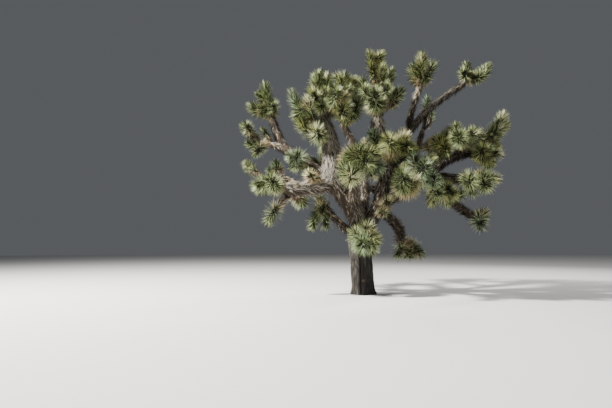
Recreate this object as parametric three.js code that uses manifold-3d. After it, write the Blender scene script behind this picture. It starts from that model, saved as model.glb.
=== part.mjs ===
// A whole joshua tree, in millimetres, +Z up. The origin is the middle of the flat cut at ground level.
// +X runs to the right and +Y away from the side that the tree is usually seen from.
// Trunk and boughs are tapering tubes along curves. Each mass of foliage is a stem that forks into
// heads: a short club of packed leaf bases, with dagger leaves standing out of it all round.
import * as THREE from "three";
import { mergeVertices } from "three/addons/utils/BufferGeometryUtils.js";
import Module from "manifold-3d";

const wasm = await Module();
wasm.setup();

// Driving sizes of the wood
const TRUNK = {
  top: [-150, 0, 1790],
  arch: [20, 0, 0],
  foot_radius: 330,
  top_radius: 325,
  sides: 14,
  rings: 7,
};
const TRUNK_SHOULDER = 0.9; // where the trunk's last full ring stands, as a share of its length
const FLARE = { width: 45, height: 240, first_ring: 0.35, fade: 2.2 };
const LOBES = { count: 5, depth: 0.07, turn: 0.6, kept: 0.4 }; // kept: their share above the flare
const BOUGH_SIDES = 6;
const BOUGH_RING_EVERY = 520;
const END_ROUND = 0.6; // a limb's last ring, as a share of its radius
const FOOT_ROUND = { reach: 0.8, ring: 0.55 }; // a bough's first ring, behind its foot, as shares of its radius
const SHOULDER = 0.6; // how far a bough's last full ring stands from its tip, as a share of its radius
const CUT_BLOCK = 4000; // the side of the block that cuts the trunk's foot flat

// Driving sizes of a head: a twig, and a club of packed leaf bases with a leaf raised from each facet
const STEM_SIDES = 5;
const STEM_TAPER = 8;
const TWIG_RADIUS = 55;
const HEAD_SIDES = 4;
const HEAD_RINGS = 3;
const CLUB_RADIUS = 92;
const CLUB_TIP_RADIUS = 60;
const CLOTHED = 480; // the length of twig that carries living leaves
const LEAF_REACH = 335; // from the twig's middle to a leaf's point: each leaf stands for a spray
const REACH_PLAY = 0.16; // as a share of the reach
const POINT_REACH = 170; // how far the middle leaf stands beyond the twig's tip
const LEAF_LEAN = { low: 1.95, high: 0.6 }; // radians between twig and leaf, at a head's foot and tip
const LEAN_PLAY = 0.3;
const TURN_PLAY = 0.35;

// How a mass forks
const FORK_SHARE = 0.42; // where its stem forks, on the way to the middle of its heads
const TWIG_SAG = 0.12; // how far a twig's middle hangs off the straight line, as a share of its length

// Clearances that keep the solids apart
const GAP = 0.4;
const LEAF_MARGIN = 1.08; // how much a leaf is scaled up while it is tested
const WELD = 1e-3; // corners nearer than this are one
const STEEP = 0.9; // a line whose direction rises by more than this share takes +X as its helper

// Seeds of the leaves' play
const SEED_STEP = 31;

// Each bough grows from a share of its parent's length to its tip; arch is how far its middle stands
// off the straight line.
const BOUGHS = [
  // name, parent, share, tip, radius at foot and tip, arch
  ["west_stem", "trunk", 0.9, [-880, -300, 3350], 250, 340, [240, 30, -50]],
  ["east_stem", "trunk", 0.88, [690, 0, 3600], 245, 205, [140, 0, -60]],
  ["back_stem", "trunk", 0.95, [-140, 1200, 4290], 175, 150, [190, 130, -60]],
  ["low_west_bough", "trunk", 0.93, [-1150, 200, 2650], 145, 100, [-60, 0, -70]],
  ["low_east_bough", "east_stem", 0.45, [1130, 900, 1620], 135, 125, [190, 50, 90]],
  ["northwest_bough", "west_stem", 1, [-1150, -200, 5160], 380, 205, [120, -40, 0]],
  ["west_upper_bough", "west_stem", 0.97, [-2500, 800, 4550], 200, 170, [30, 60, -50]],
  ["west_upper_arm", "west_upper_bough", 1, [-2950, 1300, 5600], 170, 135, [-10, 0, -60]],
  ["west_bough", "west_stem", 0.95, [-2150, -1000, 3000], 240, 185, [0, -40, -90]],
  ["centre_bough", "west_stem", 0.6, [-260, -1200, 3210], 130, 105, [60, -120, -60]],
  ["back_bough", "back_stem", 1, [-600, 1250, 5300], 150, 125, [40, 60, 0]],
  ["back_west_bough", "back_stem", 0.75, [-1000, 2300, 3950], 120, 95, [60, 60, -80]],
  ["back_east_bough", "back_stem", 0.6, [1150, 2400, 3550], 120, 95, [-60, 60, -80]],
  ["north_bough", "east_stem", 0.98, [460, 100, 5200], 235, 225, [-50, 0, 0]],
  ["northeast_bough", "east_stem", 0.97, [1410, 400, 4870], 140, 120, [40, 0, -60]],
  ["northeast_arm", "northeast_bough", 1, [1650, -200, 5900], 100, 82, [-60, 0, -30]],
  ["northeast_long_arm", "northeast_bough", 0.95, [3200, 1500, 6550], 125, 78, [-60, 100, 130]],
  ["inner_east_bough", "northeast_bough", 0.3, [1750, 1200, 4500], 95, 90, [20, 40, -40]],
  ["east_bough", "east_stem", 0.47, [1930, -500, 3330], 200, 165, [40, -100, 50]],
  ["east_lower_bough", "east_bough", 1, [2950, -600, 3250], 165, 140, [0, -40, -40]],
  ["east_upper_bough", "east_bough", 0.94, [3400, 500, 4150], 135, 105, [-80, 0, 200]],
  ["east_hanging_bough", "east_bough", 0.98, [3300, 600, 2250], 130, 100, [-60, 60, -60]],
];

// Each mass's stem grows from a share of a limb towards the middle of its heads, and forks. Its heads
// part by the first spread to either side of that middle, and each side parts again by the second.
// Three heads are a single one on the first side and two on the other.
const NONE = [0, 0, 0];
const MASSES = [
  // name, limb, share, stem radius, heads, middle, first spread, second spread
  ["west_crown", "west_upper_arm", 1, 100, 3, [-3300, 1450, 6450], [50, 50, 350], [450, -400, -100]],
  ["west_outer_heads", "west_upper_bough", 0.97, 120, 3, [-3700, 900, 4900], [-200, 200, 420], [150, -200, -200]],
  ["west_under_head", "west_upper_bough", 0.6, 70, 1, [-1900, -600, 3850], NONE, NONE],
  ["west_thin_heads", "west_bough", 0.6, 75, 2, [-3350, 1300, 4100], [-550, 300, 50], NONE],
  ["west_end_heads", "west_bough", 1, 90, 4, [-2700, -1050, 3100], [50, -430, 0], [230, -170, 60]],
  ["west_hanging_heads", "west_bough", 0.97, 75, 2, [-2220, -250, 2410], [-380, -650, -310], NONE],
  ["west_inner_tuft", "west_bough", 0.15, 70, 1, [-1500, -1000, 3380], NONE, NONE],
  ["low_west_heads", "low_west_bough", 1, 90, 3, [-1300, 250, 2400], [20, -120, 420], [220, -150, 20]],
  ["northwest_left_heads", "northwest_bough", 0.4, 85, 4, [-1650, -900, 5200], [-120, 50, 450], [-240, 150, 140]],
  ["northwest_top_left", "northwest_bough", 0.97, 115, 4, [-1250, 0, 6250], [0, 500, 400], [180, 130, 50]],
  ["northwest_top_right", "northwest_bough", 0.99, 120, 4, [-500, -420, 6050], [100, 650, 420], [100, 100, -50]],
  ["cross_heads", "northwest_bough", 0.3, 85, 4, [200, -1500, 3650], [-100, 100, 200], [-150, -300, 0]],
  ["centre_low_heads", "centre_bough", 1, 85, 3, [-300, -1800, 3250], [0, -300, -200], [200, -250, -50]],
  ["back_bough_heads", "back_bough", 1, 90, 4, [-350, 900, 5850], [-50, 600, 350], [200, -300, 200]],
  ["back_west_heads", "back_west_bough", 1, 90, 4, [-1250, 2700, 4500], [-350, 150, 150], [150, 350, 250]],
  ["back_east_heads", "back_east_bough", 1, 90, 4, [1400, 2900, 4000], [350, 150, 150], [-150, 350, 200]],
  ["back_middle_heads", "back_stem", 0.9, 90, 4, [100, 2500, 4900], [250, 250, 250], [-250, 250, -200]],
  ["pillar_heads", "north_bough", 0.25, 80, 3, [740, -1000, 4320], [-450, 300, 200], [-80, 150, 220]],
  ["north_left_heads", "north_bough", 0.93, 95, 3, [250, -200, 6000], [-200, 400, 350], [-100, -250, 50]],
  ["north_right_heads", "north_bough", 0.97, 90, 3, [900, 300, 6150], [-200, -600, -100], [100, -250, -70]],
  ["north_top_heads", "north_bough", 1, 110, 4, [600, 350, 7000], [-200, 50, 250], [-150, -400, -100]],
  ["northeast_heads", "northeast_arm", 1, 82, 4, [1780, -200, 6580], [120, -100, 150], [-130, 150, 200]],
  ["northeast_far_heads", "northeast_long_arm", 1, 78, 4, [3750, 1800, 7200], [120, 300, 220], [380, 100, 0]],
  ["inner_east_heads", "inner_east_bough", 1, 88, 2, [2250, 2000, 6050], [-100, -300, 150], NONE],
  ["inner_east_front", "inner_east_bough", 0.95, 75, 2, [2580, 450, 4530], [-220, -850, -500], NONE],
  ["east_upper_heads", "east_upper_bough", 0.6, 80, 3, [3000, 100, 4700], [350, 600, 150], [-50, -450, -300]],
  ["east_far_heads", "east_upper_bough", 1, 90, 2, [4200, 850, 5150], [150, 250, 250], NONE],
  ["east_drooping_heads", "east_upper_bough", 0.97, 90, 4, [3600, 200, 4000], [-100, -200, 150], [200, 500, 50]],
  ["east_end_heads", "east_lower_bough", 1, 90, 3, [3400, -450, 3200], [0, 450, 150], [200, 300, 150]],
  ["east_low_heads", "east_lower_bough", 0.9, 75, 2, [2850, -1100, 2900], [-100, -300, 100], NONE],
  ["east_under_heads", "east_bough", 0.95, 85, 4, [2150, -700, 2650], [200, 0, 0], [0, -500, 50]],
  ["east_front_heads", "east_bough", 0.35, 85, 3, [1300, -1500, 3280], [150, 300, 150], [-150, -150, 50]],
  ["east_middle_heads", "east_bough", 0.6, 80, 3, [1650, -1700, 3300], [200, 0, -300], [-100, 250, 150]],
  ["east_hanging_heads", "east_hanging_bough", 1, 70, 2, [3500, 600, 2150], [100, 200, 200], NONE],
  ["trunk_front_heads", "trunk", 0.97, 90, 4, [50, -850, 1620], [-100, 100, 200], [160, 80, 120]],
  ["east_stem_tufts", "east_stem", 0.35, 70, 2, [650, -850, 2500], [50, -50, 150], NONE],
  ["low_east_heads", "low_east_bough", 1, 110, 3, [1350, 1150, 1150], [-300, -200, -50], [-120, 100, 100]],
];

const vector = ([x, y, z]) => new THREE.Vector3(x, y, z);

// A repeatable source of numbers from 0 to 1.
function dice(seed) {
  let state = seed >>> 0;
  return () => {
    state = (Math.imul(state, 1664525) + 1013904223) >>> 0;
    return state / 2 ** 32;
  };
}

// A limb's middle line, from a to b with its middle moved by arch, and one direction that stays square
// to it all along, because the line lies in a plane.
function middleLine(a, b, arch) {
  const control = a.clone().add(b).multiplyScalar(0.5).addScaledVector(arch, 2);
  const curve = new THREE.QuadraticBezierCurve3(a, control, b);
  const square = control.clone().sub(a).cross(b.clone().sub(a));
  const bent = square.length() > 1;
  return { curve, across: bent ? square.normalize() : anySquare(b.clone().sub(a).normalize()) };
}

// A direction square to a straight line.
function anySquare(tangent) {
  const steep = Math.abs(tangent.z) > STEEP;
  const helper = steep ? new THREE.Vector3(1, 0, 0) : new THREE.Vector3(0, 0, 1);
  return helper.cross(tangent).normalize();
}

// The direction straight out of a line at a share of its length and an angle round it.
function outward(line, share, angle) {
  const along = line.curve.getTangent(share).cross(line.across);
  return line.across.clone().multiplyScalar(Math.cos(angle)).addScaledVector(along, Math.sin(angle));
}

// The trunk's lowest ring is square to its middle line, so the foot is cut flat at ground level.
function flatFoot(solid, grow) {
  const below = new THREE.BoxGeometry(CUT_BLOCK, CUT_BLOCK, CUT_BLOCK).translate(0, 0, -CUT_BLOCK / 2 - grow);
  return solid.subtract(solidOf(below));
}

// A closed geometry as a solid that can be cut and joined.
function solidOf(geometry) {
  const bare = geometry.clone();
  bare.deleteAttribute("normal");
  bare.deleteAttribute("uv");
  const merged = mergeVertices(bare, WELD);
  return new wasm.Manifold(
    new wasm.Mesh({
      numProp: 3,
      vertProperties: new Float32Array(merged.attributes.position.array),
      triVerts: new Uint32Array(merged.index.array),
    }),
  );
}

// A tube along a line. shares are where its rings stand, and radius(share, angle) their size. A ring with
// a share below 0 stands straight behind the foot. point is how far the middle of the far end stands out.
function tubeGeometry(line, shares, radius, sides, grow = 0, point = 0) {
  const last = shares.length - 1;
  const geometry = new THREE.CylinderGeometry(1, 1, 1, sides, last);
  const place = geometry.attributes.position;
  for (let i = 0; i < place.count; i++) {
    const ring = Math.round((place.getY(i) + 0.5) * last);
    const share = shares[ring];
    const at = Math.max(share, 0);
    const behind = (at - share) * line.curve.getLength();
    const angle = Math.atan2(place.getX(i), place.getZ(i));
    const out = Math.hypot(place.getX(i), place.getZ(i));
    const end = ring === 0 ? -grow - behind : ring === last ? grow + (1 - out) * point : 0;
    const p = line.curve.getPoint(at);
    p.addScaledVector(outward(line, at, angle), out * (radius(share, angle) + grow));
    p.addScaledVector(line.curve.getTangent(at), end);
    place.setXYZ(i, p.x, p.y, p.z);
  }
  return geometry;
}

const tube = (...shape) => solidOf(tubeGeometry(...shape));

// The largest of the bodies that a cut leaves.
function largest(solid) {
  const bodies = solid.decompose();
  return bodies.reduce((a, b) => (b.volume() > a.volume() ? b : a));
}

function boxesMeet(a, b) {
  const [p, q] = [a.boundingBox(), b.boundingBox()];
  return [0, 1, 2].every((i) => p.min[i] < q.max[i] && q.min[i] < p.max[i]);
}

// The solid less every one of the others that it meets.
function cutClear(solid, others) {
  const near = others.filter((other) => boxesMeet(solid, other));
  return near.length ? largest(solid.subtract(wasm.Manifold.union(near))) : solid;
}

// The trunk: it leans, tapers, and flares at its foot into lobes that fade as it rises.
function trunkLimb() {
  const { top, arch, foot_radius, top_radius, sides, rings } = TRUNK;
  const line = middleLine(new THREE.Vector3(0, 0, 0), vector(top), vector(arch));
  const flare = FLARE.height / top[2];
  const shares = [0, FLARE.first_ring * flare];
  const { lerp } = THREE.MathUtils;
  for (let k = 0; k < rings - 1; k++) shares.push(lerp(flare, TRUNK_SHOULDER, k / (rings - 2)));
  shares.push(1);
  const radius = (share, angle) => {
    const plain = foot_radius + (top_radius - foot_radius) * share;
    const left = Math.exp((-FLARE.fade * share) / flare);
    const lobe = 1 + LOBES.depth * (LOBES.kept + left) * Math.cos(LOBES.count * angle + LOBES.turn);
    const end = share === 1 ? END_ROUND : 1;
    return (plain + FLARE.width * left) * lobe * end;
  };
  const solid = (grow) => flatFoot(tube(line, shares, radius, sides, grow), grow);
  return { line, solid };
}

// A bough: one tapering limb from a share of its parent's length to its tip.
function boughLimb(parent, share, tip, foot_radius, tip_radius, arch) {
  const line = middleLine(parent.line.curve.getPoint(share), vector(tip), vector(arch));
  const length = line.curve.getLength();
  const steps = Math.max(2, Math.round(length / BOUGH_RING_EVERY));
  const shoulder = 1 - (SHOULDER * tip_radius) / length;
  const shares = [(-FOOT_ROUND.reach * foot_radius) / length];
  for (let k = 0; k <= steps; k++) shares.push((shoulder * k) / steps);
  shares.push(1);
  const drawnIn = (share) => (share < 0 ? FOOT_ROUND.ring : share === 1 ? END_ROUND : 1);
  const radius = (share) => (foot_radius + (tip_radius - foot_radius) * Math.max(share, 0)) * drawnIn(share);
  return { line, solid: (grow) => tube(line, shares, radius, BOUGH_SIDES, grow) };
}

// Where a mass's heads end.
function headTips(heads, middle, first, second) {
  if (heads === 1) return [middle];
  const sides = [middle.clone().add(first), middle.clone().sub(first)];
  if (heads === 2) return sides;
  const parted = sides.flatMap((side) => [side.clone().add(second), side.clone().sub(second)]);
  return heads === 3 ? [sides[0], ...parted.slice(2)] : parted;
}

// A mass: a stem from its limb to the fork, and one twig on from there to each head's tip.
function massOf(limb, share, stem_radius, heads, middle, first, second) {
  const foot = limb.line.curve.getPoint(share);
  const fork = foot.clone().lerp(vector(middle), FORK_SHARE);
  const twigs = headTips(heads, vector(middle), vector(first), vector(second)).map((tip) => {
    const drop = -TWIG_SAG * fork.distanceTo(tip) * Math.sign(tip.z - fork.z);
    return middleLine(fork, tip, new THREE.Vector3(0, 0, drop));
  });
  return { stem_radius, stem: middleLine(foot, fork, new THREE.Vector3()), twigs };
}

// A head is a twig that thickens into a club of packed leaf bases and closes at its tip.
function clubOf(twig) {
  const bare = Math.max(0, 1 - CLOTHED / twig.curve.getLength());
  const shares = bare > 0 ? [0] : [];
  for (let k = 0; k <= HEAD_RINGS; k++) shares.push(bare + ((1 - bare) * k) / HEAD_RINGS);
  const radius = (share) => (share <= bare ? TWIG_RADIUS : share === 1 ? CLUB_TIP_RADIUS : CLUB_RADIUS);
  return { bare, shares, radius };
}

function headGeometry(twig, grow = 0) {
  const { shares, radius } = clubOf(twig);
  return tubeGeometry(twig, shares, radius, HEAD_SIDES, grow, POINT_REACH);
}

// A mass's stem and bare clubs.
function massWood(mass, grow) {
  const { stem_radius } = mass;
  const stem = tube(mass.stem, [0, 1], (s) => stem_radius - STEM_TAPER * s, STEM_SIDES, grow);
  return [stem, ...mass.twigs.map((twig) => solidOf(headGeometry(twig, grow)))];
}

// The point of a leaf: it leans back at its head's foot and forward at its tip.
function leafPoint(twig, share, angle, play) {
  const { bare } = clubOf(twig);
  const height = (share - bare) / (1 - bare);
  const lean = LEAF_LEAN.low + (LEAF_LEAN.high - LEAF_LEAN.low) * height + LEAN_PLAY * (play() - 0.5);
  const out = outward(twig, share, angle + TURN_PLAY * (play() - 0.5));
  const reach = LEAF_REACH * (1 + REACH_PLAY * (play() - 0.5));
  return twig.curve
    .getPoint(share)
    .addScaledVector(out, reach * Math.sin(lean))
    .addScaledVector(twig.curve.getTangent(share), reach * Math.cos(lean));
}

// The three faces of a leaf that stands on a facet.
const raised = ([a, b, c], point) => [a, b, point, b, c, point, c, a, point];

const facesSolid = (corners) => solidOf(new THREE.BufferGeometry().setFromPoints(corners));

// A leaf alone, scaled up a little, to test what it would touch.
function testLeaf([a, b, c], point) {
  const middle = a.clone().add(b).add(c).add(point).divideScalar(4);
  const grown = (corner) => corner.clone().sub(middle).multiplyScalar(LEAF_MARGIN).add(middle);
  const [p, q, r, s] = [a, b, c, point].map(grown);
  return facesSolid([...raised([p, q, r], s), p, r, q]);
}

// Whether a solid touches any of the others.
function meets(solid, others) {
  return others.some((other) => boxesMeet(solid, other) && !solid.intersect(other).isEmpty());
}

// A head with a leaf raised from each facet of its club, less those that would touch another piece.
function headSolid(twig, others, seed) {
  const play = dice(seed);
  const { bare, shares } = clubOf(twig);
  const shape = headGeometry(twig).toNonIndexed();
  const { position, uv } = shape.attributes;
  const faces = [];
  for (let i = 0; i < position.count; i += 3) {
    const facet = [i, i + 1, i + 2].map((k) => new THREE.Vector3().fromBufferAttribute(position, k));
    const turn = (uv.getX(i) + uv.getX(i + 1) + uv.getX(i + 2)) / 3;
    const ring = ((uv.getY(i) + uv.getY(i + 1) + uv.getY(i + 2)) / 3) * (shares.length - 1);
    const share = THREE.MathUtils.lerp(shares[Math.floor(ring)], shares[Math.ceil(ring)], ring % 1);
    const on_side = i < shape.groups[0].count;
    const on_club = on_side && share > bare;
    const point = on_club && leafPoint(twig, share, turn * 2 * Math.PI, play);
    const grows = on_club && point.z > 0 && !meets(testLeaf(facet, point), others);
    faces.push(...(grows ? raised(facet, point) : facet));
  }
  return facesSolid(faces);
}

// A solid as a named mesh.
function meshOf(name, solid, material) {
  const mesh = solid.getMesh();
  const geometry = new THREE.BufferGeometry();
  const places = new Float32Array(mesh.numVert * 3);
  for (let i = 0; i < mesh.numVert; i++) {
    places.set(mesh.vertProperties.subarray(i * mesh.numProp, i * mesh.numProp + 3), i * 3);
  }
  geometry.setAttribute("position", new THREE.BufferAttribute(places, 3));
  geometry.setIndex(new THREE.BufferAttribute(mesh.triVerts, 1));
  geometry.computeVertexNormals();
  const made = new THREE.Mesh(geometry, material);
  made.name = name;
  return made;
}

const materials = {
  bark: () => new THREE.MeshStandardMaterial({ color: 0x5b4a3e, roughness: 0.95, metalness: 0 }),
  thatch: () => new THREE.MeshStandardMaterial({ color: 0x8a7f70, roughness: 0.95, metalness: 0 }),
  leaves: () => new THREE.MeshStandardMaterial({ color: 0x76834f, roughness: 0.6, metalness: 0 }),
};

const tree = new THREE.Group();
const limbs = new Map([["trunk", trunkLimb()]]);
for (const [name, parent, ...shape] of BOUGHS) limbs.set(name, boughLimb(limbs.get(parent), ...shape));

// Each limb is cut clear of the ones before it.
const taken = [];
const wood = [];
for (const [name, limb] of limbs) {
  const solid = cutClear(limb.solid(0), taken);
  taken.push(limb.solid(GAP));
  wood.push(solid);
  tree.add(meshOf(name, solid, name === "trunk" ? materials.bark() : materials.thatch()));
}

// Each mass's wood is cut clear of the limbs and of the masses before it.
const masses = MASSES.map(([name, limb, ...shape]) => {
  const mass = massOf(limbs.get(limb), ...shape);
  const before = [...taken];
  taken.push(wasm.Manifold.union(massWood(mass, GAP)));
  return { name, mass, before, solid: cutClear(wasm.Manifold.union(massWood(mass, 0)), before) };
});

// Leaves come last, so that none of them runs into another mass's wood.
masses.forEach((entry, k) => {
  const others = [...wood, ...masses.filter((m) => m !== entry).map((m) => m.solid)];
  const [stem, ...clubs] = massWood(entry.mass, 0);
  const heads = [...clubs];
  entry.mass.twigs.forEach((twig, head) => {
    const siblings = heads.filter((_, other) => other !== head);
    heads[head] = headSolid(twig, [...others, ...siblings], (k + 1) * SEED_STEP + head);
  });
  entry.solid = cutClear(wasm.Manifold.union([stem, ...heads]), entry.before);
  tree.add(meshOf(entry.name, entry.solid, materials.leaves()));
});

export default tree;
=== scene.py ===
import math

import bmesh
import bpy
import numpy as np
from mathutils import Matrix, Vector


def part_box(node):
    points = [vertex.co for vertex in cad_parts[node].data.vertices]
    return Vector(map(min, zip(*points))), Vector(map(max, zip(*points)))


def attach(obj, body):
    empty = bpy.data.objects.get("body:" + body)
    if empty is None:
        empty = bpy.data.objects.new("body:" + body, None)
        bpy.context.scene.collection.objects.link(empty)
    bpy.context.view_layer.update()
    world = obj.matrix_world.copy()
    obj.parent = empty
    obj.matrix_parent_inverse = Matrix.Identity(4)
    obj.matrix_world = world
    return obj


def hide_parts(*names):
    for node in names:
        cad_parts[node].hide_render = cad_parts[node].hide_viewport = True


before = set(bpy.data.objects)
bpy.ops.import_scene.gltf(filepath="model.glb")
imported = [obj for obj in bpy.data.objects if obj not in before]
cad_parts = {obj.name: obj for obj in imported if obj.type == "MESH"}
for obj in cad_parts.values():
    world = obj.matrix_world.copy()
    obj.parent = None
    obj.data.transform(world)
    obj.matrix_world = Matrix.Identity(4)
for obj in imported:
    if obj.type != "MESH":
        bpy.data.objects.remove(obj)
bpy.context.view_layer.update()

# Driving sizes of the wood
TRUNK = {"top": (-0.15, 0.0, 1.79), "arch": (0.02, 0.0, 0.0), "foot_radius": 0.33, "top_radius": 0.325}
FLARE = {"width": 0.045, "height": 0.24, "fade": 2.2}
LOBES = {"count": 5, "depth": 0.07, "turn": 0.6, "kept": 0.4}
LIMB_SIDES = 28
RING_EVERY = 0.12
FEWEST_RINGS = 3
# A limb's last full ring stands this share of its tip's radius before its end
SHOULDER = 0.6
END_ROUND = 0.6
FOOT_ROUND = {"reach": 0.8, "ring": 0.55}
STEM_TAPER = 0.008
TWIG_RADIUS = 0.055
TWIG_SIDES = 9
TWIG_RINGS = [0, 0.2, 0.4, 0.6, 0.8, 0.93, 1]

# In how many places a line is measured, kept clear of, and searched for the place nearest a corner, how
# often that place is then bettered, and in how many places a limb's reach is taken
LENGTH_STEPS = 25
ROOM_STEPS = 21
FRAME_STEPS = 61
FRAME_ROUNDS = 2
REACH_STEPS = 9

# How a mass forks: how far along its way to its heads, and how much its twigs bow
FORK_SHARE = 0.42
TWIG_SAG = 0.12

# Each bough grows from a share of its parent's length to its tip. Its arch is how far its middle
# stands off the straight line.
BOUGHS = [
    # name, parent, share, tip, radius at foot and tip, arch
    ("west_stem", "trunk", 0.9, (-0.88, -0.3, 3.35), 0.25, 0.34, (0.24, 0.03, -0.05)),
    ("east_stem", "trunk", 0.88, (0.69, 0.0, 3.6), 0.245, 0.205, (0.14, 0.0, -0.06)),
    ("back_stem", "trunk", 0.95, (-0.14, 1.2, 4.29), 0.175, 0.15, (0.19, 0.13, -0.06)),
    ("low_west_bough", "trunk", 0.93, (-1.15, 0.2, 2.65), 0.145, 0.1, (-0.06, 0.0, -0.07)),
    ("low_east_bough", "east_stem", 0.45, (1.13, 0.9, 1.62), 0.135, 0.125, (0.19, 0.05, 0.09)),
    ("northwest_bough", "west_stem", 1, (-1.15, -0.2, 5.16), 0.38, 0.205, (0.12, -0.04, 0.0)),
    ("west_upper_bough", "west_stem", 0.97, (-2.5, 0.8, 4.55), 0.2, 0.17, (0.03, 0.06, -0.05)),
    ("west_upper_arm", "west_upper_bough", 1, (-2.95, 1.3, 5.6), 0.17, 0.135, (-0.01, 0.0, -0.06)),
    ("west_bough", "west_stem", 0.95, (-2.15, -1.0, 3.0), 0.24, 0.185, (0.0, -0.04, -0.09)),
    ("centre_bough", "west_stem", 0.6, (-0.26, -1.2, 3.21), 0.13, 0.105, (0.06, -0.12, -0.06)),
    ("back_bough", "back_stem", 1, (-0.6, 1.25, 5.3), 0.15, 0.125, (0.04, 0.06, 0.0)),
    ("back_west_bough", "back_stem", 0.75, (-1.0, 2.3, 3.95), 0.12, 0.095, (0.06, 0.06, -0.08)),
    ("back_east_bough", "back_stem", 0.6, (1.15, 2.4, 3.55), 0.12, 0.095, (-0.06, 0.06, -0.08)),
    ("north_bough", "east_stem", 0.98, (0.46, 0.1, 5.2), 0.235, 0.225, (-0.05, 0.0, 0.0)),
    ("northeast_bough", "east_stem", 0.97, (1.41, 0.4, 4.87), 0.14, 0.12, (0.04, 0.0, -0.06)),
    ("northeast_arm", "northeast_bough", 1, (1.65, -0.2, 5.9), 0.1, 0.082, (-0.06, 0.0, -0.03)),
    ("northeast_long_arm", "northeast_bough", 0.95, (3.2, 1.5, 6.55), 0.125, 0.078, (-0.06, 0.1, 0.13)),
    ("inner_east_bough", "northeast_bough", 0.3, (1.75, 1.2, 4.5), 0.095, 0.09, (0.02, 0.04, -0.04)),
    ("east_bough", "east_stem", 0.47, (1.93, -0.5, 3.33), 0.2, 0.165, (0.04, -0.1, 0.05)),
    ("east_lower_bough", "east_bough", 1, (2.95, -0.6, 3.25), 0.165, 0.14, (0.0, -0.04, -0.04)),
    ("east_upper_bough", "east_bough", 0.94, (3.4, 0.5, 4.15), 0.135, 0.105, (-0.08, 0.0, 0.2)),
    ("east_hanging_bough", "east_bough", 0.98, (3.3, 0.6, 2.25), 0.13, 0.1, (-0.06, 0.06, -0.06)),
]

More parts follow.
